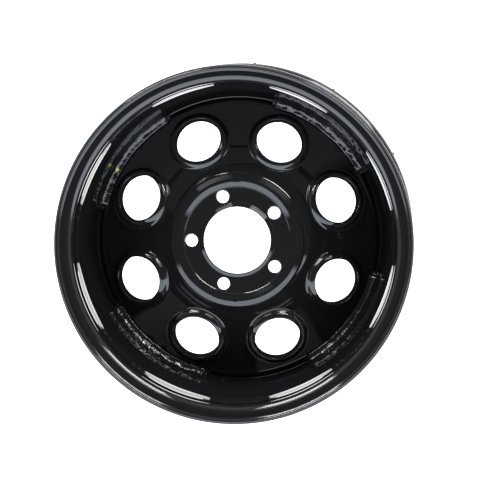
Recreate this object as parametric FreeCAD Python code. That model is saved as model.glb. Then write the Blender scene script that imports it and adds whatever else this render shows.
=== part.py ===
import FreeCAD, Part
import math
import os

# Steel disc wheel lying flat: a rolled rim, a pressed centre disc and four stitch welds.
# Millimetres. The axis is Z, the face with the lug seats looks up, and Z = 0 is the inner lip.

# Rim, as rolled from strip
rim_width = 203.2              # between the tyre faces of the two flanges
bead_seat_diameter = 405.6
flange_height = 18.0           # from the bead seat to the top of the flange
rim_thickness = 3.6
curl_radius = 8.5              # tyre side of the flange curl
curl_turn_deg = 135.0          # how far the lip is rolled over
heel_radius = 6.5              # tyre side, between flange and bead seat
bead_seat_angle_deg = 5.0
bead_seat_width = 21.0
hump_height = 1.2
hump_width = 11.0
outer_slope_run = 7.0          # steep stretch below the outer bead seat, along the axis
outer_slope_angle_deg = 20.0
slope_foot_radius = 26.0       # tyre side, where the steep stretch turns into the taper
taper_run = 102.0              # gentle stretch that leads down to the well
well_depth = 19.7              # from the bead seat to the tyre side of the well
inner_slope_run = 14.0
rim_bend_radius = 9.0          # tyre side of the other bends along the barrel
valve_hole_diameter = 11.5
valve_inset = 14.0             # from the steep stretch down the taper, along the axis
valve_angle_deg = 0.0

# Centre disc, as pressed from plate
disc_thickness = 5.0
lug_face_height = 134.0        # upper face of the bolting area above the inner lip
bore_diameter = 84.0
bore_lip_width = 4.2
bore_lip_height = 2.6
bore_lip_step = 0.9
bolt_circle_diameter = 114.3
lug_count = 5
lug_hole_diameter = 15.5
lug_first_angle_deg = 36.6
lug_seat_depth = 2.0
lug_seat_angle_deg = 60.0      # included angle of the nut seat
ring_inner_diameter = 135.4    # raised ring around the bolting area
ring_outer_diameter = 165.8
ring_height = 3.3
ring_step = 0.9
cone_angle_deg = 26.0          # fall of the disc outside the raised ring
shoulder_radius = 18.0         # upper face, from the cone to the skirt
skirt_length = 9.0             # straight part that stands against the well
skirt_clearance = 0.1          # between skirt and well before welding

# Windows with a rolled collar on the upper face
window_count = 8
window_diameter = 57.7
window_land = 1.4              # from the foot of a collar to the start of the shoulder
window_first_angle_deg = 22.0
collar_height = 6.0            # at the hole
collar_top_run = 5.5           # from the hole to where the top turns into the flank
collar_top_angle_deg = 12.0    # fall of the top, away from the hole
collar_flank_angle_deg = 60.0  # fall of the flank
collar_crown_radius = 9.0      # between top and flank
collar_inner_radius = 1.2      # rounding on the hole's side
collar_root_radius = 4.0
collar_sink = 4.0              # how deep the collar is set into the plate
window_back_radius = 1.2

# Stitch welds in the groove between disc and rim
weld_count = 4
weld_first_angle_deg = 53.3
weld_length_deg = 46.5
weld_reach = 7.1               # from the skirt in to the toe of the weld on the disc
weld_rise = 14.0               # from the toe up to where the weld meets the barrel
weld_depth = 9.5               # from the toe down to the bottom of the weld
weld_hollow = 2.2              # how far the weld face is hollowed below its chord
weld_sink = 1.2                # how far the untrimmed bead enters the disc beside its toe

# Small edge breaks
edge_break = 0.7
bend_floor = 0.4               # least radius left on the tight side of a bend

# Cutting tools and edge picking
cutter_reach = 20.0            # how far a drill runs past the middle of its hole
pick_slack = 0.1               # how far a picked edge may lie off its radius
pick_margin = 1.0              # how far a fused edge may lie outside its collar

# Worked out from the sizes above
bead_seat_radius = bead_seat_diameter / 2
flange_radius = bead_seat_radius + flange_height
curl_rest = math.radians(180 - curl_turn_deg)
lip_mid_radius = curl_radius - rim_thickness / 2
lip_overhang = curl_radius + lip_mid_radius * math.cos(curl_rest) + rim_thickness / 2
mid_height = rim_width / 2 + lip_overhang
well_radius = bead_seat_radius - well_depth
well_inner_radius = well_radius - rim_thickness
toe_radius = bead_seat_radius - bead_seat_width * math.tan(math.radians(bead_seat_angle_deg))
hump_end_z = mid_height + rim_width / 2 - bead_seat_width - hump_width
slope_end_z = hump_end_z - outer_slope_run
slope_end_radius = toe_radius - outer_slope_run * math.tan(math.radians(outer_slope_angle_deg))
well_top_z = slope_end_z - taper_run
taper_angle = math.atan((slope_end_radius - well_radius) / taper_run)
cone_angle = math.radians(cone_angle_deg)
cone_start_radius = ring_outer_diameter / 2 + edge_break / 2
skirt_radius = well_inner_radius - skirt_clearance
shoulder_start_radius = skirt_radius - shoulder_radius * (1 - math.sin(cone_angle))
window_radius = window_diameter / 2
flank_angle = math.radians(collar_flank_angle_deg)
crown_radius = window_radius + collar_top_run
crown_z = collar_height - collar_top_run * math.tan(math.radians(collar_top_angle_deg))
foot_radius = crown_radius + crown_z / math.tan(flank_angle)
collar_reach = foot_radius + collar_root_radius * math.tan(flank_angle / 2)
window_circle_radius = shoulder_start_radius - window_land - collar_reach * math.cos(cone_angle)
origin = FreeCAD.Vector(0, 0, 0)
axis = FreeCAD.Vector(0, 0, 1)


def point(r, z):
    return FreeCAD.Vector(r, 0, z)


def rounded_loop(nodes):
    # Closed outline through (radius, height, corner radius) nodes, with an arc at each rounded corner.
    starts, ends, arcs = [], [], []
    for i, (r, z, fillet) in enumerate(nodes):
        here = point(r, z)
        before = point(*nodes[i - 1][:2]) - here
        after = point(*nodes[(i + 1) % len(nodes)][:2]) - here
        before.normalize()
        after.normalize()
        half = before.getAngle(after) / 2
        if fillet <= 0 or abs(half - math.pi / 2) < 1e-6:
            starts.append(here)
            ends.append(here)
            arcs.append(None)
            continue
        reach = fillet / math.tan(half)
        inward = before + after
        inward.normalize()
        middle = here + inward * (fillet / math.sin(half) - fillet)
        starts.append(here + before * reach)
        ends.append(here + after * reach)
        arcs.append(middle)
    edges = []
    for i, middle in enumerate(arcs):
        if middle is not None:
            edges.append(Part.Arc(starts[i], middle, ends[i]).toShape())
        following = starts[(i + 1) % len(starts)]
        if ends[i].distanceToPoint(following) > 1e-6:
            edges.append(Part.LineSegment(ends[i], following).toShape())
    return Part.Wire(edges)


def turned(wire, angle_deg=360):
    return Part.Face(wire).revolve(origin, axis, angle_deg)


def other_side(nodes, thickness):
    # The left-hand side of a bent sheet, at an even thickness from the side that the nodes give.
    headings = []
    for (r0, z0, _), (r1, z1, _) in zip(nodes, nodes[1:]):
        length = math.hypot(r1 - r0, z1 - z0)
        headings.append(((r1 - r0) / length, (z1 - z0) / length))
    offset = []
    for i, (r, z, fillet) in enumerate(nodes):
        first = headings[max(i - 1, 0)]
        second = headings[min(i, len(headings) - 1)]
        turn = first[0] * second[1] - first[1] * second[0]
        spread = 1 + first[0] * second[0] + first[1] * second[1]
        shift_r = -(first[1] + second[1]) / spread
        shift_z = (first[0] + second[0]) / spread
        bend = fillet - thickness * math.copysign(1, turn) if fillet > 0 else 0
        bend = max(bend, bend_floor) if fillet > 0 else 0
        offset.append((r + shift_r * thickness, z + shift_z * thickness, bend))
    return offset


def flange_nodes(side):
    # Lip end and curl corner on the tyre side; side is 1 for the upper flange and -1 for the lower.
    tangent = curl_radius * math.tan(math.radians(curl_turn_deg) / 2)
    corner_r = flange_radius - curl_radius + tangent
    face_z = mid_height + side * rim_width / 2
    lip_run = tangent + rim_thickness / 2
    end_r = corner_r - lip_run * math.cos(curl_rest)
    end_z = face_z + side * lip_run * math.sin(curl_rest)
    heel = (bead_seat_radius, face_z, heel_radius)
    return [(end_r, end_z, 0), (corner_r, face_z, curl_radius), heel]


def make_rim():
    toe_r = toe_radius
    top_face = mid_height + rim_width / 2
    low_face = mid_height - rim_width / 2
    low_hump_end_z = low_face + bead_seat_width + hump_width
    well_low_z = low_hump_end_z + inner_slope_run
    tyre_side = flange_nodes(1)
    tyre_side += [
        (toe_r, top_face - bead_seat_width, rim_bend_radius),
        (toe_r + hump_height, top_face - bead_seat_width - hump_width / 2, rim_bend_radius),
        (toe_r, hump_end_z, rim_bend_radius),
        (slope_end_radius, slope_end_z, slope_foot_radius),
        (well_radius, well_top_z, rim_bend_radius),
        (well_radius, well_low_z, rim_bend_radius),
        (toe_r, low_hump_end_z, rim_bend_radius),
        (toe_r + hump_height, low_face + bead_seat_width + hump_width / 2, rim_bend_radius),
        (toe_r, low_face + bead_seat_width, rim_bend_radius),
    ]
    tyre_side += flange_nodes(-1)[::-1]
    hub_side = other_side(tyre_side, -rim_thickness)
    outline = tyre_side + hub_side[::-1]
    for i in (0, len(tyre_side) - 1, len(tyre_side), -1):
        outline[i] = (outline[i][0], outline[i][1], rim_thickness / 2)
    rim = turned(rounded_loop(outline))
    valve_r = slope_end_radius - valve_inset * math.tan(taper_angle)
    outward = FreeCAD.Vector(math.cos(taper_angle), 0, -math.sin(taper_angle))
    start = point(valve_r, slope_end_z - valve_inset) - outward * cutter_reach
    drill = Part.makeCylinder(valve_hole_diameter / 2, cutter_reach * 2, start, outward)
    drill.rotate(origin, axis, valve_angle_deg)
    return rim.cut(drill)


def cone_height(r):
    return lug_face_height - (r - cone_start_radius) * math.tan(cone_angle)


def skirt_bottom():
    shoulder_drop = shoulder_radius * math.tan(math.pi / 4 - cone_angle / 2)
    return cone_height(skirt_radius) - shoulder_drop - skirt_length


def disc_outline():
    top = lug_face_height
    back = top - disc_thickness
    bore_r = bore_diameter / 2
    lip_r = bore_r + bore_lip_width
    ring_in = ring_inner_diameter / 2
    ring_out = ring_outer_diameter / 2
    ring_mid = (ring_in + ring_out) / 2
    wall = edge_break / 2
    crown = (ring_out - ring_in) / 2
    cone_drop = disc_thickness / math.cos(cone_angle)
    inner_skirt = skirt_radius - disc_thickness
    low = skirt_bottom()
    return [
        (bore_r, top + bore_lip_height, edge_break),
        (lip_r, top + bore_lip_step, edge_break / 2),
        (lip_r + wall, top, edge_break / 2),
        (ring_in - wall, top, edge_break / 2),
        (ring_in, top + ring_step, edge_break / 2),
        (ring_mid, top + ring_height, crown),
        (ring_out, top + ring_step, edge_break / 2),
        (cone_start_radius, top, edge_break),
        (skirt_radius, cone_height(skirt_radius), shoulder_radius),
        (skirt_radius, low, edge_break),
        (inner_skirt, low, edge_break),
        (inner_skirt, cone_height(inner_skirt) - cone_drop, shoulder_radius - disc_thickness),
        (cone_start_radius, top - cone_drop, disc_thickness),
        (ring_mid, back + ring_height, crown),
        (ring_in - disc_thickness / 2, back, disc_thickness),
        (bore_r, back, edge_break),
    ]


def around(shape, first_deg, count):
    copies = []
    for i in range(count):
        copy = shape.copy()
        copy.rotate(origin, axis, first_deg + 360.0 * i / count)
        copies.append(copy)
    return copies


def at_window(shape):
    # From the window's own axis to its seat on the cone, in the plane of angle zero.
    shape.rotate(origin, FreeCAD.Vector(0, 1, 0), cone_angle_deg)
    shape.translate(point(window_circle_radius, cone_height(window_circle_radius)))
    return shape


def window_edges(disc, low, high, inner, outer):
    # Closed edges around the windows that lie between two radii and two heights on a window's axis.
    found = []
    for i in range(window_count):
        frame = FreeCAD.Placement(origin, FreeCAD.Rotation(FreeCAD.Vector(0, 1, 0), cone_angle_deg))
        frame.Base = point(window_circle_radius, cone_height(window_circle_radius))
        angle = window_first_angle_deg + 360.0 * i / window_count
        frame = FreeCAD.Placement(origin, FreeCAD.Rotation(axis, angle)) * frame
        inverse = frame.inverse()
        for edge in disc.Edges:
            spots = [inverse.multVec(p) for p in edge.discretize(9)]
            reach = [math.hypot(p.x, p.y) for p in spots]
            heights = [p.z for p in spots]
            if inner < min(reach) and max(reach) < outer and low < min(heights) and max(heights) < high:
                found.append(edge)
    return found


def make_disc():
    disc = turned(rounded_loop(disc_outline()))
    hole_r = window_radius
    root_r = foot_radius + collar_sink / math.tan(flank_angle)
    collar_outline = [
        (hole_r, -collar_sink, 0),
        (root_r, -collar_sink, 0),
        (crown_radius, crown_z, collar_crown_radius),
        (hole_r, collar_height, collar_inner_radius),
    ]
    collar = at_window(turned(rounded_loop(collar_outline)))
    disc = disc.fuse(around(collar, window_first_angle_deg, window_count))
    drill = at_window(Part.makeCylinder(hole_r, cutter_reach * 2, FreeCAD.Vector(0, 0, -cutter_reach)))
    disc = disc.cut(around(drill, window_first_angle_deg, window_count))
    roots = window_edges(disc, -collar_sink, collar_height / 2, crown_radius, root_r + pick_margin)
    disc = disc.makeFillet(collar_root_radius, roots)
    backs = window_edges(disc, -cutter_reach, -disc_thickness / 2, hole_r - pick_slack, hole_r + pick_slack)
    disc = disc.makeFillet(window_back_radius, backs)
    return disc.cut(lug_holes()).removeSplitter()


def lug_holes():
    hole_r = lug_hole_diameter / 2
    top = lug_face_height
    seat_r = hole_r + lug_seat_depth * math.tan(math.radians(lug_seat_angle_deg / 2))
    outline = [
        (0, top - cutter_reach, 0),
        (hole_r, top - cutter_reach, 0),
        (hole_r, top - lug_seat_depth, 0),
        (seat_r, top, 0),
        (seat_r, top + cutter_reach, 0),
        (0, top + cutter_reach, 0),
    ]
    drill = turned(rounded_loop(outline))
    drill.translate(point(bolt_circle_diameter / 2, 0))
    return around(drill, lug_first_angle_deg, lug_count)


def barrel_radius(z):
    # Hub side of the taper at a height above the well.
    return well_inner_radius + (z - well_top_z) * math.tan(taper_angle)


def make_welds(rim, disc):
    # A bead that overfills the groove is turned along the stitch, then trimmed by the rim and the disc.
    toe_r = skirt_radius - weld_reach
    toe_z = cone_height(toe_r) - edge_break
    wall_z = toe_z + weld_rise
    wall_r = barrel_radius(wall_z)
    root_z = toe_z - weld_depth
    into_rim = rim_thickness / 2
    middle = hollow_middle(toe_r, toe_z, wall_r, wall_z)
    face = Part.Arc(point(toe_r, toe_z), middle, point(wall_r, wall_z))
    corners = [
        point(wall_r, wall_z),
        point(wall_r + into_rim, wall_z),
        point(barrel_radius(root_z) + into_rim, root_z),
        point(skirt_radius - disc_thickness / 2, root_z),
        point(toe_r - weld_sink, toe_z - disc_thickness / 2),
        point(toe_r, toe_z),
    ]
    edges = [face.toShape()]
    edges += [Part.LineSegment(a, b).toShape() for a, b in zip(corners, corners[1:])]
    bead = turned(Part.Wire(edges), weld_length_deg)
    beads = []
    for copy in around(bead, weld_first_angle_deg - weld_length_deg / 2, weld_count):
        trimmed = copy.cut([rim, disc])
        beads.append(max(trimmed.Solids, key=lambda solid: solid.Volume))
    return Part.makeCompound(beads)


def hollow_middle(r0, z0, r1, z1):
    # Middle of the weld face, below its chord.
    length = math.hypot(r1 - r0, z1 - z0)
    middle_r = (r0 + r1) / 2 + (z1 - z0) / length * weld_hollow
    middle_z = (z0 + z1) / 2 - (r1 - r0) / length * weld_hollow
    return point(middle_r, middle_z)


os.makedirs("parts", exist_ok=True)
rim = make_rim()
disc = make_disc()
pieces = {"rim": rim, "centre_disc": disc, "weld_beads": make_welds(rim, disc)}
for name, shape in pieces.items():
    shape.exportStep("parts/" + name + ".step")
    box = shape.optimalBoundingBox(False)
    low = [round(v, 2) for v in (box.XMin, box.YMin, box.ZMin)]
    high = [round(v, 2) for v in (box.XMax, box.YMax, box.ZMax)]
    print(name, shape.isValid(), len(shape.Solids), round(shape.Volume), low, high)
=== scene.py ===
import math

import bpy
from mathutils import Matrix, Vector


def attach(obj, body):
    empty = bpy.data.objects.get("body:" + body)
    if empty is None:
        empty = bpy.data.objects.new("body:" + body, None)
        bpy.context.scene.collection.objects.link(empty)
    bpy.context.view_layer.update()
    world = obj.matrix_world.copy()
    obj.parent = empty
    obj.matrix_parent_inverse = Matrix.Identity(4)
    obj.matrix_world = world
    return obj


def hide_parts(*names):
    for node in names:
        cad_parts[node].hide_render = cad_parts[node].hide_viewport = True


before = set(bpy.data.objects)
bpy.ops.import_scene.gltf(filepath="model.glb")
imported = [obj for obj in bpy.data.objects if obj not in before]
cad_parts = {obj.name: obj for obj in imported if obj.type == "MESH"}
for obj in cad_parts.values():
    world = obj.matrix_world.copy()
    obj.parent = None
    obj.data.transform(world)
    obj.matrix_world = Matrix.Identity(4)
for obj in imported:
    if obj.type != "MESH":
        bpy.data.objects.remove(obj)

scene = bpy.context.scene
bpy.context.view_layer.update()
mm = 0.001
creaseAngle = 0.7                            # in radians, an edge that bends more stays crisp
print("frame loaded:", sorted(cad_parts))


class Sock:                                  # one output socket, so node maths reads as sums
    def __init__(self, nodes, socket):
        self.nodes = nodes
        self.socket = socket

    def math(self, operation, *others):
        names = dict(enumerate((self, *others)))
        return self.nodes.node("ShaderNodeMath", {"operation": operation}, names)

    def smooth(self, low, high):             # 0 below low, 1 above high; the other way round if low > high
        settings = {"interpolation_type": "SMOOTHSTEP"}
        bottom, top = (0, 1) if low < high else (1, 0)
        sockets = {0: self, 1: min(low, high), 2: max(low, high), 3: bottom, 4: top}
        return self.nodes.node("ShaderNodeMapRange", settings, sockets)

    def __add__(self, other):
        return self.math("ADD", other)

    def __sub__(self, other):
        return self.math("SUBTRACT", other)

    def __mul__(self, other):
        return self.math("MULTIPLY", other)

    def __truediv__(self, other):
        return self.math("DIVIDE", other)

    def __rsub__(self, other):
        return (self * -1) + other

    __radd__ = __add__
    __rmul__ = __mul__


class Nodes:                                 # a node tree that is filled by one method
    def __init__(self, tree):
        self.tree = tree

    def node(self, kind, settings=None, sockets=None, out=0):
        node = self.tree.nodes.new(kind)
        for key, value in (settings or {}).items():
            setattr(node, key, value)
        for key, value in (sockets or {}).items():
            self.put(value, node.inputs[key])
        return Sock(self, node.outputs[out])

    def put(self, value, socket):            # a link for a Sock, a plain setting for anything else
        if isinstance(value, Sock):
            self.tree.links.new(value.socket, socket)
        else:
            socket.default_value = value

    def parts(self, vector):                 # x, y and z of a vector
        split = self.tree.nodes.new("ShaderNodeSeparateXYZ")
        self.put(vector, split.inputs[0])
        return [Sock(self, output) for output in split.outputs]


class Finish(Nodes):                         # one material with its shader
    def __init__(self, name):
        self.material = bpy.data.materials.new(name)
        self.material.use_nodes = True
        super().__init__(self.material.node_tree)
        self.shader = self.tree.nodes["Principled BSDF"]

    def set(self, **sockets):
        for key, value in sockets.items():
            self.put(value, self.shader.inputs[key.replace("_", " ")])
        return self

    def place(self):                         # where a point lies on the piece, in metres
        return self.node("ShaderNodeTexCoord", out="Object")

    def noise(self, place, scale, detail=2.0, rough=0.5):
        sockets = {"Vector": place, "Scale": scale, "Detail": detail, "Roughness": rough}
        return self.node("ShaderNodeTexNoise", None, sockets)

    def bump(self, height, depth):
        return self.node("ShaderNodeBump", None, {"Height": height, "Distance": depth, "Strength": 1.0})

    def mix(self, part, first, second):      # of two colours
        return self.node("ShaderNodeMix", {"data_type": "RGBA"}, {0: part, 6: first, 7: second}, out=2)


class Shape(Nodes):                          # a Geometry Nodes tree with named inputs
    def __init__(self, name, sizes):
        super().__init__(bpy.data.node_groups.new(name, "GeometryNodeTree"))
        kinds = {int: "NodeSocketInt", float: "NodeSocketFloat"}
        self.sizes = sizes
        self.names = {}
        self.socket("Geometry", "INPUT", "NodeSocketGeometry")
        for key, value in sizes.items():
            self.names[key] = self.socket(key, "INPUT", kinds[type(value)])
        self.names["Material"] = self.socket("Material", "INPUT", "NodeSocketMaterial")
        self.socket("Geometry", "OUTPUT", "NodeSocketGeometry")
        self.entry = self.tree.nodes.new("NodeGroupInput")

    def socket(self, key, side, kind):       # gives the identifier that a modifier needs
        return self.tree.interface.new_socket(key, in_out=side, socket_type=kind).identifier

    def given(self, key):
        return Sock(self, self.entry.outputs[key])

    def close(self, mesh):                   # every tree ends the same way
        mesh = self.node("GeometryNodeSetShadeSmooth", None, {"Geometry": mesh})
        corner = self.node("GeometryNodeInputMeshEdgeAngle").math("GREATER_THAN", creaseAngle)
        crease = {"Geometry": mesh, "Selection": corner, "Shade Smooth": False}
        mesh = self.node("GeometryNodeSetShadeSmooth", {"domain": "EDGE"}, crease)
        mesh = self.node("GeometryNodeRealizeInstances", None, {"Geometry": mesh})
        painted = {"Geometry": mesh, "Material": self.given("Material")}
        mesh = self.node("GeometryNodeSetMaterial", None, painted)
        exitNode = self.tree.nodes.new("NodeGroupOutput")
        self.put(mesh, exitNode.inputs[0])

    def grow(self, name, host, material, **changes):   # runs the tree on a host and keeps the plain mesh
        modifier = host.modifiers.new(name, "NODES")
        modifier.node_group = self.tree
        for key, value in {**self.sizes, **changes}.items():
            modifier[self.names[key]] = value
        modifier[self.names["Material"]] = material
        evaluated = host.evaluated_get(bpy.context.evaluated_depsgraph_get())
        mesh = bpy.data.meshes.new_from_object(evaluated)
        bpy.data.objects.remove(host)
        piece = bpy.data.objects.new(name, mesh)
        scene.collection.objects.link(piece)
        return piece


def profileCurve(name, points, railRadius):  # a closed outline of (radius, height) points in millimetres
    curve = bpy.data.curves.new(name, "CURVE")
    curve.dimensions = "3D"
    spline = curve.splines.new("POLY")
    spline.points.add(len(points) - 1)
    spline.use_cyclic_u = True
    for i, (r, z) in enumerate(points):
        spline.points[i].co = (r * mm - railRadius, -z * mm, 0, 1)
    host = bpy.data.objects.new(name, curve)
    scene.collection.objects.link(host)
    return host


def softBend(first, middle, last, t):        # a point on the curve that leans towards the middle one
    return first * (1 - t) ** 2 + middle * (2 * t * (1 - t)) + last * t ** 2


enamel = {                                   # noises are given by scale, detail and roughness
    "colour": (0.0055, 0.0057, 0.0062, 1),
    "roughness": 0.42,
    "coat": 1.0, "coatRoughness": 0.02,
    "peel": (420.0, 2.0, 0.5), "peelDepth": 0.00002,       # orange peel of the paint
    "wave": (42.0, 1.0, 0.5), "waveDepth": 0.00006,        # slow waves in the sheet under it
    "lines": (420.0, 3.0, 0.6), "lineDepth": 0.00004,      # round the barrel, left by the rolls
    "smudge": (23.0, 4.0, 0.6), "smudgeEdges": (0.35, 0.7), "smudgeRoughness": 0.08,
    "dust": (500.0, 1.0, 0.5), "dustEdges": (0.68, 0.8), "dustPart": 0.03,
    "dustColour": (0.05, 0.05, 0.048, 1),
    "cutRoughness": 0.5,                     # added on cut edges
}


def makeEnamel(name, bare=None, peelPart=1.0, rolled=False):
    paint = Finish(name)                     # bare, where given, marks cut edges with thin dull paint
    place = paint.place()
    peel = paint.noise(place, *enamel["peel"])
    wave = paint.noise(place, *enamel["wave"])
    smudge = paint.noise(place, *enamel["smudge"]).smooth(*enamel["smudgeEdges"])
    dust = paint.noise(place, *enamel["dust"]).smooth(*enamel["dustEdges"])
    slow = paint.bump(wave, enamel["waveDepth"] * peelPart)
    fine = paint.bump(peel, enamel["peelDepth"] * peelPart)
    paint.put(slow, fine.socket.node.inputs["Normal"])
    if rolled:
        height = paint.node("ShaderNodeCombineXYZ", None, {"Z": paint.parts(place)[2]})
        lines = paint.bump(paint.noise(height, *enamel["lines"]), enamel["lineDepth"])
        paint.put(lines, slow.socket.node.inputs["Normal"])
    colour = paint.mix(dust * enamel["dustPart"], enamel["colour"], enamel["dustColour"])
    rough = smudge * enamel["smudgeRoughness"] + enamel["roughness"]
    paint.set(Coat_Weight=enamel["coat"], Coat_Roughness=enamel["coatRoughness"], Specular_IOR_Level=0.0)
    if bare:
        cut = bare(paint, place)
        rough = rough + cut * enamel["cutRoughness"]
        paint.set(Coat_Weight=1 - cut)
    return paint.set(Base_Color=colour, Roughness=rough, Normal=fine)


rimForm = {                                  # as in the solid, in millimetres and degrees
    "width": 203.2, "seatRadius": 202.8, "flangeHeight": 18.0, "sheet": 3.6,
    "curl": 8.5, "curlTurn": 135.0, "heel": 6.5,
    "seatAngle": 5.0, "seatWidth": 21.0, "humpHeight": 1.2, "humpWidth": 11.0,
    "slopeRun": 7.0, "slopeAngle": 20.0, "slopeFoot": 26.0, "taperRun": 102.0,
    "wellDepth": 19.7, "innerSlopeRun": 14.0, "bend": 9.0, "leastBend": 0.4,
    "valveRadius": 5.75, "valveInset": 14.0, "valveSides": 48, "drillLength": 30.0,
    "lipSlack": 0.01,                        # taken off the lip's rounding, so that its ends don't meet
    "arcStep": 8.0, "tightStep": 18.0, "tightBend": 4.0,   # degrees for each step of an arc, by its radius
    "support": 0.6,                          # from the end of a straight to the point that holds it flat
    "railRadius": 0.2, "segments": 360,
}


def otherSide(corners, sheet):               # the hub side of the bent sheet, one sheet away
    headings = []
    for (r0, z0, _), (r1, z1, _) in zip(corners, corners[1:]):
        length = math.hypot(r1 - r0, z1 - z0)
        headings.append(((r1 - r0) / length, (z1 - z0) / length))
    moved = []
    for i, (r, z, bend) in enumerate(corners):
        a, b = headings[max(i - 1, 0)], headings[min(i, len(headings) - 1)]
        turn = a[0] * b[1] - a[1] * b[0]
        spread = 1 + a[0] * b[0] + a[1] * b[1]
        inner = max(bend + math.copysign(sheet, turn), rimForm["leastBend"]) if bend > 0 else 0
        moved.append((r + (a[1] + b[1]) / spread * sheet, z - (a[0] + b[0]) / spread * sheet, inner))
    return moved


def roundedOutline(corners):                 # arcs at the corners, and straights held flat near their ends
    ends = []
    for i, (r, z, bend) in enumerate(corners):
        here = Vector((r, z))
        before = (Vector(corners[i - 1][:2]) - here).normalized()
        after = (Vector(corners[(i + 1) % len(corners)][:2]) - here).normalized()
        half = before.angle(after) / 2
        if bend <= 0 or abs(half - math.pi / 2) < 1e-5:
            ends.append([here])
            continue
        reach = bend / math.tan(half)
        inward = (before + after).normalized()
        middle = here + inward * bend / math.sin(half)
        start, stop = here + before * reach - middle, here + after * reach - middle
        turn = math.pi - 2 * half
        side = math.copysign(1, start.x * stop.y - start.y * stop.x)
        step = rimForm["arcStep"] if bend > rimForm["tightBend"] else rimForm["tightStep"]
        count = max(2, math.ceil(math.degrees(turn) / step))
        arc = []
        for k in range(count + 1):
            a = side * turn * k / count
            arc.append(middle + Vector((start.x * math.cos(a) - start.y * math.sin(a),
                                        start.x * math.sin(a) + start.y * math.cos(a))))
        ends.append(arc)
    points = []
    support = rimForm["support"]
    for i, arc in enumerate(ends):
        points += arc
        gap = ends[(i + 1) % len(ends)][0] - arc[-1]
        if gap.length > 4 * support:
            points.append(arc[-1] + gap.normalized() * support)
            points.append(arc[-1] + gap.normalized() * (gap.length - support))
    return [(p.x, p.y) for p in points]


def rimOutline():
    f = rimForm
    rest = math.radians(180 - f["curlTurn"])
    tangent = f["curl"] * math.tan(math.radians(f["curlTurn"]) / 2)
    middle = f["width"] / 2 + f["curl"] + (f["curl"] - f["sheet"] / 2) * math.cos(rest) + f["sheet"] / 2
    toe = f["seatRadius"] - f["seatWidth"] * math.tan(math.radians(f["seatAngle"]))
    cornerR = f["seatRadius"] + f["flangeHeight"] - f["curl"] + tangent
    lip = tangent + f["sheet"] / 2

    def flange(side):
        face = middle + side * f["width"] / 2
        return [(cornerR - lip * math.cos(rest), face + side * lip * math.sin(rest), 0),
                (cornerR, face, f["curl"]), (f["seatRadius"], face, f["heel"])]

    top, low = middle + f["width"] / 2, middle - f["width"] / 2
    humpEnd = top - f["seatWidth"] - f["humpWidth"]
    slopeEnd = humpEnd - f["slopeRun"]
    slopeR = toe - f["slopeRun"] * math.tan(math.radians(f["slopeAngle"]))
    wellR = f["seatRadius"] - f["wellDepth"]
    lowHumpEnd = low + f["seatWidth"] + f["humpWidth"]
    tyreSide = flange(1) + [
        (toe, top - f["seatWidth"], f["bend"]),
        (toe + f["humpHeight"], top - f["seatWidth"] - f["humpWidth"] / 2, f["bend"]),
        (toe, humpEnd, f["bend"]),
        (slopeR, slopeEnd, f["slopeFoot"]),
        (wellR, slopeEnd - f["taperRun"], f["bend"]),
        (wellR, lowHumpEnd + f["innerSlopeRun"], f["bend"]),
        (toe, lowHumpEnd, f["bend"]),
        (toe + f["humpHeight"], low + f["seatWidth"] + f["humpWidth"] / 2, f["bend"]),
        (toe, low + f["seatWidth"], f["bend"]),
    ] + flange(-1)[::-1]
    corners = tyreSide + otherSide(tyreSide, f["sheet"])[::-1]
    for i in (0, len(tyreSide) - 1, len(tyreSide), len(corners) - 1):
        corners[i] = (*corners[i][:2], f["sheet"] / 2 - f["lipSlack"])
    fall = math.atan((slopeR - wellR) / f["taperRun"])
    valve = (slopeR - f["valveInset"] * math.tan(fall), slopeEnd - f["valveInset"], fall)
    return roundedOutline(corners), valve


def makeRim(material):
    f = rimForm
    outline, (valveR, valveZ, fall) = rimOutline()
    lathe = Shape("rimLathe", {
        "Rail Radius": f["railRadius"], "Segments": f["segments"],
        "Valve Radius": f["valveRadius"] * mm, "Valve Sides": f["valveSides"], "Drill Length": f["drillLength"] * mm,
    })
    g = lathe.given
    rail = lathe.node("GeometryNodeCurvePrimitiveCircle", None,
                      {"Resolution": g("Segments"), "Radius": g("Rail Radius")})
    shell = lathe.node("GeometryNodeCurveToMesh", None, {"Curve": rail, "Profile Curve": g("Geometry")})
    drill = lathe.node("GeometryNodeMeshCylinder", None,
                       {"Vertices": g("Valve Sides"), "Radius": g("Valve Radius"), "Depth": g("Drill Length")})
    turn = (0, math.pi / 2 + fall, 0)
    drill = lathe.node("GeometryNodeTransform", None,
                       {"Geometry": drill, "Translation": (valveR * mm, 0, valveZ * mm), "Rotation": turn})
    shell = lathe.node("GeometryNodeMeshBoolean", {"operation": "DIFFERENCE", "solver": "EXACT"},
                       {"Mesh 1": shell, "Mesh 2": drill})
    lathe.close(shell)
    piece = lathe.grow("rimShell", profileCurve("rimOutline", outline, f["railRadius"]), material)
    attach(piece, "root")
    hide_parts("rim")
    print("rim:", len(outline), "outline points,", len(piece.data.polygons), "faces")


makeRim(makeEnamel("rimEnamel", rolled=True).material)


discForm = {                                 # as in the solid, in millimetres and degrees
    "bore": 42.0, "boreEdge": (0.5, 0.1),    # the edges say where the dull wall starts and is full
    "lugCircle": 57.15, "lugHole": 7.75, "lugEdge": (0.3, 0.1), "lugs": 5, "firstLug": 36.6,
    "windowCircle": 132.43, "windowHeight": 110.01, "lean": 26.0,
    "window": 28.85, "windowEdge": (0.5, 0.15), "windows": 8, "firstWindow": 22.0,
}


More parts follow.
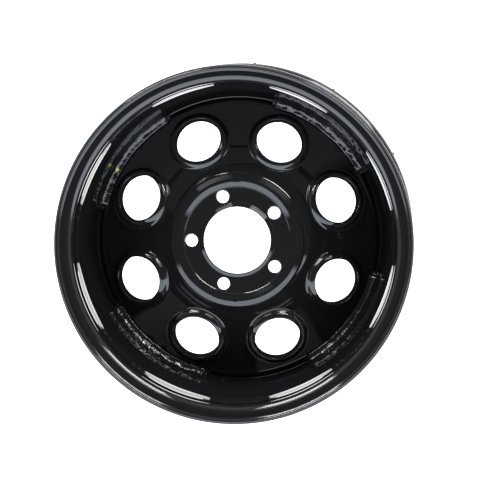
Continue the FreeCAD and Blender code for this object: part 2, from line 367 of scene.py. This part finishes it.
def holeWalls(paint, place):                 # 1 on the walls of the bore, the lug holes and the windows
    f = discForm
    x, y, z = paint.parts(place)
    radius = (x * x + y * y).math("SQRT")

    def folded(count, first):                # the angle to the nearest of the holes
        angle = y.math("ARCTAN2", x) - math.radians(first)
        part = 2 * math.pi / count
        return angle.math("WRAP", part / 2, -part / 2)

    def fromCentre(turn, circle):            # out and across from the middle of that hole
        return radius * turn.math("COSINE") - circle * mm, radius * turn.math("SINE")

    def wall(distance, size, edge):
        return distance.smooth((size + edge[0]) * mm, (size + edge[1]) * mm)

    bore = wall(radius, f["bore"], f["boreEdge"])
    u, v = fromCentre(folded(f["lugs"], f["firstLug"]), f["lugCircle"])
    lug = wall((u * u + v * v).math("SQRT"), f["lugHole"], f["lugEdge"])
    u, v = fromCentre(folded(f["windows"], f["firstWindow"]), f["windowCircle"])
    lean, high = math.radians(f["lean"]), z - f["windowHeight"] * mm
    u = u * math.cos(lean) - high * math.sin(lean)
    window = wall((u * u + v * v).math("SQRT"), f["window"], f["windowEdge"])
    return bore.math("MAXIMUM", lug).math("MAXIMUM", window)


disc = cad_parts["centre_disc"].data
disc.materials.clear()
disc.materials.append(makeEnamel("discEnamel", holeWalls).material)
print("disc painted")


weld = {
    "starts": (28.0, 119.6, 208.5, 298.6), "sweeps": (48.2, 48.3, 48.4, 47.6),     # in degrees
    "toe": (173.4, 92.7), "bend": (182.4, 93.4), "wall": (183.9, 104.3),           # face, in millimetres
    "rollWide": 2.5, "rollHigh": 1.9, "rollPoints": 6,                             # rounded edge on the disc
    "back": ((185.0, 103.5), (181.6, 81.2), (176.8, 80.9), (171.2, 87.5)),         # inside the rim and the disc
    "facePoints": 16, "railRadius": 0.178, "steps": 330,
    "facing": 0.7, "faceEdges": (0.3, 0.6),  # only the open face is worked
    "pitch": 0.003, "ripple": 0.00013, "rippleBow": 1.8, "wobble": (150.0, 2.5),   # noise by scale and share
    "lumps": (0.0019, 0.0014, 0.002, 0.001), "broadLumps": (70.0, 1.7), "smallLumps": (190.0, 0.7),
    "seedStep": 3.7,
    "endLength": 0.008, "endDrop": 0.0042,
    "wallDrop": 0.25, "deepest": 0.003,      # the ends sink less at the wall, and stay inside the rim
    "paintSpot": (150.6, 176.4, 92.4),       # yellow dab by angle, radius and height
    "paintSize": 0.0026, "paintFade": 0.0008, "paintEdge": (900.0, 0.0012),
    "paintColour": (0.62, 0.43, 0.06, 1),
}


def makeWeldPaint():
    paint = makeEnamel("weldEnamel", peelPart=0.4)
    angle, r, z = weld["paintSpot"]
    a = math.radians(angle)
    spot = (r * math.cos(a) * mm, r * math.sin(a) * mm, z * mm)
    gap = paint.node("ShaderNodeVectorMath", {"operation": "DISTANCE"}, {0: paint.place(), 1: spot}, out=1)
    edgeScale, edgeDepth = weld["paintEdge"]
    edge = paint.noise(paint.place(), edgeScale) * edgeDepth
    mark = (gap + edge).smooth(weld["paintSize"] + weld["paintFade"], weld["paintSize"])
    black = Sock(paint, paint.shader.inputs["Base Color"].links[0].from_socket)
    return paint.set(Base_Color=paint.mix(mark, black, weld["paintColour"])).material


def weldTree():
    bead = Shape("weldBead", {
        "Rail Radius": weld["railRadius"], "Start Angle": 0.0, "Sweep Angle": 0.8, "Steps": weld["steps"],
        "Ripple Pitch": weld["pitch"], "Ripple Depth": weld["ripple"], "Lump Depth": 0.001,
        "End Length": weld["endLength"], "End Drop": weld["endDrop"], "Seed": 0.0,
    })
    g = bead.given
    rail = bead.node("GeometryNodeCurveArc", {"mode": "RADIUS"}, {
        "Resolution": g("Steps"), "Radius": g("Rail Radius"),
        "Start Angle": g("Start Angle"), "Sweep Angle": g("Sweep Angle")})
    mesh = bead.node("GeometryNodeCurveToMesh", None,
                     {"Curve": rail, "Profile Curve": g("Geometry"), "Fill Caps": True})
    place = bead.node("GeometryNodeInputPosition")
    normal = bead.node("GeometryNodeInputNormal")
    x, y, z = bead.parts(place)
    nx, ny, nz = bead.parts(normal)
    radius = (x * x + y * y).math("SQRT")
    inward = (x * nx + y * ny) / radius * -1
    face = ((nz + inward) * weld["facing"]).smooth(*weld["faceEdges"])
    turned = (y.math("ARCTAN2", x) - g("Start Angle")).math("WRAP", 2 * math.pi, 0)
    along = turned * g("Rail Radius")
    ends = along.math("MINIMUM", g("Sweep Angle") * g("Rail Radius") - along) / g("End Length")
    rise = (z - weld["toe"][1] * mm) / ((weld["wall"][1] - weld["toe"][1]) * mm)
    bow = rise - 0.5

    def noise(scale, share):
        sockets = {"Vector": place, "W": g("Seed"), "Scale": scale, "Detail": 1.0}
        return (bead.node("ShaderNodeTexNoise", {"noise_dimensions": "4D"}, sockets) - 0.5) * share

    phase = along / g("Ripple Pitch") + bow * bow * weld["rippleBow"] + noise(*weld["wobble"])
    ripple = (phase * math.pi).math("SINE").math("ABSOLUTE") * g("Ripple Depth")
    lumps = (noise(*weld["broadLumps"]) + noise(*weld["smallLumps"])) * g("Lump Depth")
    sink = (1 - ends.smooth(0.0, 1.0)) * (1 - rise * (1 - weld["wallDrop"])) * g("End Drop")
    push = face * (ripple + lumps - sink).math("MAXIMUM", -weld["deepest"])
    offset = bead.node("ShaderNodeVectorMath", {"operation": "SCALE"}, {0: normal, "Scale": push})
    bead.close(bead.node("GeometryNodeSetPosition", None, {"Geometry": mesh, "Offset": offset}))
    return bead


def weldOutline():
    toe, bend, wall = Vector(weld["toe"]), Vector(weld["bend"]), Vector(weld["wall"])
    outline = []
    for i in range(weld["rollPoints"]):
        a = math.pi / 2 * i / weld["rollPoints"]
        outline.append((toe.x - weld["rollWide"] * math.cos(a), toe.y + weld["rollHigh"] * (math.sin(a) - 1)))
    for i in range(weld["facePoints"] + 1):
        p = softBend(toe, bend, wall, i / weld["facePoints"])
        outline.append((p.x, p.y))
    return outline + list(weld["back"])


def makeWelds(material):
    outline = weldOutline()
    bead = weldTree()
    for i, (start, sweep, lump) in enumerate(zip(weld["starts"], weld["sweeps"], weld["lumps"])):
        host = profileCurve("weldOutline", outline, weld["railRadius"])
        changes = {"Start Angle": math.radians(start), "Sweep Angle": math.radians(sweep)}
        changes.update({"Lump Depth": lump, "Seed": weld["seedStep"] * i})
        piece = bead.grow("weldStitch%d" % (i + 1), host, material, **changes)
        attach(piece, "root")
        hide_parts("weld_beads")
    print("welds:", len(weld["starts"]), "stitches")


makeWelds(makeWeldPaint())


fillets = {                                  # paint in corners, by (radius, height) points in millimetres
    "corners": (((47.3, 133.99), (46.15, 134.85)), ((66.5, 133.99), (67.65, 134.85))),
    "hollow": 0.35, "points": 6, "segments": 240,
    "tuckWide": 0.3, "tuckDeep": 0.7,        # how far the corners' back lies inside the disc
    "ringToe": ((85.5, 132.96), (85.0, 133.213), (84.5, 133.478), (84.0, 133.754), (83.6, 134.045),
                (83.2, 134.52), (82.9, 134.87), (82.6, 134.1), (85.2, 132.2)),
    "seam": ((178.2, 82.15), (179.3, 82.3), (180.35, 83.1)), "seamBack": ((180.9, 79.0), (177.5, 79.0)),
}


def filletOutlines():
    outlines = []
    steps = [i / fillets["points"] for i in range(fillets["points"] + 1)]
    deep = fillets["tuckDeep"]
    for (toeR, toeZ), (topR, topZ) in fillets["corners"]:
        points = []
        for t in steps:
            rise = t * (1 - fillets["hollow"]) + t * t * fillets["hollow"]
            points.append((toeR + (topR - toeR) * t, toeZ + (topZ - toeZ) * rise))
        side = math.copysign(fillets["tuckWide"], topR - toeR)
        points += [(topR + side, topZ - deep), (toeR + side, toeZ - deep)]
        outlines.append(points if side > 0 else points[::-1])
    seam = [Vector(p) for p in fillets["seam"]]
    outlines.append([tuple(softBend(*seam, t)) for t in steps] + list(fillets["seamBack"]))
    outlines.append(fillets["ringToe"][::-1])
    return outlines


def makeFillets(material):
    tree = Shape("paintFillet", {"Rail Radius": 0.06, "Segments": fillets["segments"]})
    g = tree.given
    rail = tree.node("GeometryNodeCurvePrimitiveCircle", None,
                     {"Resolution": g("Segments"), "Radius": g("Rail Radius")})
    tree.close(tree.node("GeometryNodeCurveToMesh", None, {"Curve": rail, "Profile Curve": g("Geometry")}))
    outlines = filletOutlines()
    for i, outline in enumerate(outlines):
        radius = outline[0][0] * mm
        host = profileCurve("filletOutline", outline, radius)
        piece = tree.grow("paintFillet%d" % (i + 1), host, material, **{"Rail Radius": radius})
        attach(piece, "root")
    print("fillets:", len(outlines))


makeFillets(makeEnamel("filletEnamel", peelPart=0.1).material)


specks = {                                   # angle, radius and height, then size across, out and up, in millimetres
    "spatter": (
        (185.7, 181.0, 90.5, 1.1, 0.9, 1.4), (263.5, 180.9, 90.0, 1.6, 0.9, 1.0),
        (277.8, 181.0, 90.4, 1.5, 0.9, 1.0), (297.0, 180.9, 90.2, 1.2, 0.8, 1.0),
        (256.6, 177.0, 93.5, 1.2, 1.2, 1.2), (257.3, 174.6, 91.6, 1.1, 1.1, 1.0),
        (256.9, 180.4, 96.5, 1.3, 1.1, 1.3), (207.6, 176.0, 91.5, 0.9, 0.9, 0.8),
        (204.0, 171.0, 91.6, 0.6, 0.6, 0.6),
    ),
    "drips": (
        (28.25, 220.5, 6.6, 2.0, 1.7, 2.2), (57.65, 220.5, 6.6, 1.8, 1.6, 2.2),
        (85.8, 220.5, 6.6, 1.9, 1.6, 2.2),
    ),
}


def speckTree():
    drop = Shape("paintDrop", {"Radius": 1.0, "Subdivisions": 3})
    g = drop.given
    ball = drop.node("GeometryNodeMeshIcoSphere", None,
                     {"Radius": g("Radius"), "Subdivisions": g("Subdivisions")})
    size = drop.node("GeometryNodeInputNamedAttribute", {"data_type": "FLOAT_VECTOR"}, {"Name": "size"})
    turn = drop.node("GeometryNodeInputNamedAttribute", {"data_type": "FLOAT_VECTOR"}, {"Name": "turn"})
    sockets = {"Points": g("Geometry"), "Instance": ball, "Rotation": turn, "Scale": size}
    drop.close(drop.node("GeometryNodeInstanceOnPoints", None, sockets))
    return drop


def makeSpecks(key, material):
    rows = specks[key]
    turns = [math.radians(row[0]) for row in rows]
    places = []
    for a, (_, r, z, *_) in zip(turns, rows):
        places.append((r * math.cos(a) * mm, r * math.sin(a) * mm, z * mm))
    mesh = bpy.data.meshes.new(key)
    mesh.from_pydata(places, [], [])
    size = mesh.attributes.new("size", "FLOAT_VECTOR", "POINT")
    turn = mesh.attributes.new("turn", "FLOAT_VECTOR", "POINT")
    for i, (_, _, _, wide, out, high) in enumerate(rows):
        size.data[i].vector = (out * mm, wide * mm, high * mm)
        turn.data[i].vector = (0, 0, turns[i])
    host = bpy.data.objects.new(key, mesh)
    scene.collection.objects.link(host)
    piece = speckTree().grow(key, host, material)
    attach(piece, "root")
    print(key + ":", len(rows))


makeSpecks("spatter", makeEnamel("spatterEnamel").material)
makeSpecks("drips", makeEnamel("dripEnamel").material)


camera = {
    "place": (0.203794, 0.255888, 4.266059),
    "aim": (0.0023003, -0.0011475, 0.11),
    "lens": 248.387, "sensor": 36, "farthest": 50,
}


def makeCamera():
    data = bpy.data.cameras.new("photoCamera")
    data.lens = camera["lens"]
    data.sensor_width = camera["sensor"]
    data.clip_end = camera["farthest"]
    eye = bpy.data.objects.new("photoCamera", data)
    scene.collection.objects.link(eye)
    back = (Vector(camera["place"]) - Vector(camera["aim"])).normalized()
    across = Vector((0, 1, 0)).cross(back).normalized()
    rows = zip(across, back.cross(across), back, camera["place"])     # image up is +Y
    eye.matrix_world = Matrix([*rows, (0, 0, 0, 1)])
    scene.camera = eye


makeCamera()
print("camera set")


studio = {                                   # each pair says where a light starts and where it is full
    "floorSize": 12.0, "floorDrop": 0.0005, "floorColour": (0.1, 0.1, 0.1, 1),
    "floorGlow": 2.2,                        # what the camera sees of the floor
    "floorNear": 4.5, "floorFar": 0.8,       # what the paint picks up of it, under the wheel and beyond
    "floorEdges": (0.32, 0.18),
    "groundGlow": 4.3,                       # pale ground towards -Y, seen in everything that faces it
    "groundTint": (0.82, 0.9, 1.0),
    "groundLow": (0.15, 0.3), "groundHigh": (2.9, 2.2), "groundSides": (5.0, 3.0),
    "lamps": (                               # azimuth, off the axis, half widths, softness of the edge, strength
        (53, 67.5, 12.5, 3.5, 0.03, 34), (118, 68.5, 12.5, 4.5, 0.03, 34),
        (53, 53, 12.5, 2, 0.03, 36), (118, 53.3, 12.5, 1.9, 0.03, 36),
        (53, 38, 11, 4.5, 0.85, 5.5), (118, 39, 10, 4.5, 0.85, 3.5),
    ),
    "lampSides": 0.1,                        # softness of the side edges
    "backGlow": 0.35, "backHigh": (0.63, 0.61), "backLow": (0.0, 0.1),                # wide dim band all round
    "stripGlow": 1.4, "stripHigh": (0.612, 0.604), "stripLow": (0.556, 0.564),        # thin bright line in it
    "horizonGlow": 1.2, "horizonEdges": (0.26, 0.1),
    "skyGlow": 0.13,
}


def makeFloor():
    size, low = studio["floorSize"] / 2, -studio["floorDrop"]
    mesh = bpy.data.meshes.new("floor")
    corners = [(-size, -size, low), (size, -size, low), (size, size, low), (-size, size, low)]
    mesh.from_pydata(corners, [], [(0, 1, 2, 3)])
    floor = bpy.data.objects.new("floor", mesh)
    scene.collection.objects.link(floor)
    sheet = Finish("paleFloor")
    sheet.set(Base_Color=studio["floorColour"], Roughness=1.0)
    direct = sheet.node("ShaderNodeLightPath", out="Is Camera Ray")
    x, y, z = sheet.parts(sheet.place())
    near = (x * x + y * y).math("SQRT").smooth(*studio["floorEdges"])
    seen = near * (studio["floorNear"] - studio["floorFar"]) + studio["floorFar"]
    glow = direct * studio["floorGlow"] + (1 - direct) * seen
    shade = sheet.node("ShaderNodeCombineColor", None, {0: glow, 1: glow, 2: glow})
    sheet.set(Emission_Color=shade, Emission_Strength=1.0)
    mesh.materials.append(sheet.material)


def makeSky():
    s = studio
    world = bpy.data.worlds.new("studio")
    scene.world = world
    world.use_nodes = True
    sky = Nodes(world.node_tree)
    x, y, z = sky.parts(sky.node("ShaderNodeTexCoord", out="Generated"))
    front = (y * -1).math("MAXIMUM", 0.001)  # never zero
    rise = z / front
    spread = x.math("ABSOLUTE") / front
    ground = rise.smooth(*s["groundLow"]) * rise.smooth(*s["groundHigh"]) * spread.smooth(*s["groundSides"])
    horizon = z.math("ABSOLUTE").smooth(*s["horizonEdges"])
    back = z.smooth(*s["backHigh"]) * z.smooth(*s["backLow"])
    strip = z.smooth(*s["stripHigh"]) * z.smooth(*s["stripLow"])
    lamps = back * s["backGlow"] + strip * s["stripGlow"]
    for azimuth, offAxis, halfWide, halfHigh, soft, strength in s["lamps"]:
        a, o = math.radians(azimuth), math.radians(offAxis)
        wide, high = math.sin(math.radians(halfWide)), math.sin(math.radians(halfHigh))
        towards = x * math.cos(a) + y * math.sin(a)
        across = (y * math.cos(a) - x * math.sin(a)).math("ABSOLUTE")
        along = (towards * math.cos(o) - z * math.sin(o)).math("ABSOLUTE")
        lamp = across.smooth(wide * (1 + s["lampSides"]), wide * (1 - s["lampSides"]))
        lamp = lamp * along.smooth(high * (1 + soft), high * (1 - soft))
        lamps = lamp * towards.math("GREATER_THAN", 0.0) * strength + lamps
    direct = sky.node("ShaderNodeLightPath", out="Is Camera Ray")
    shades = {}
    for i, tint in enumerate(s["groundTint"]):
        seen = ground * (s["groundGlow"] * tint) + horizon * s["horizonGlow"] + lamps + s["skyGlow"]
        shades[i] = seen * (1 - direct) + direct
    colour = sky.node("ShaderNodeCombineColor", None, shades)
    sky.put(colour, world.node_tree.nodes["Background"].inputs["Color"])


makeFloor()
makeSky()
scene.view_settings.view_transform = "Standard"
print("studio set")
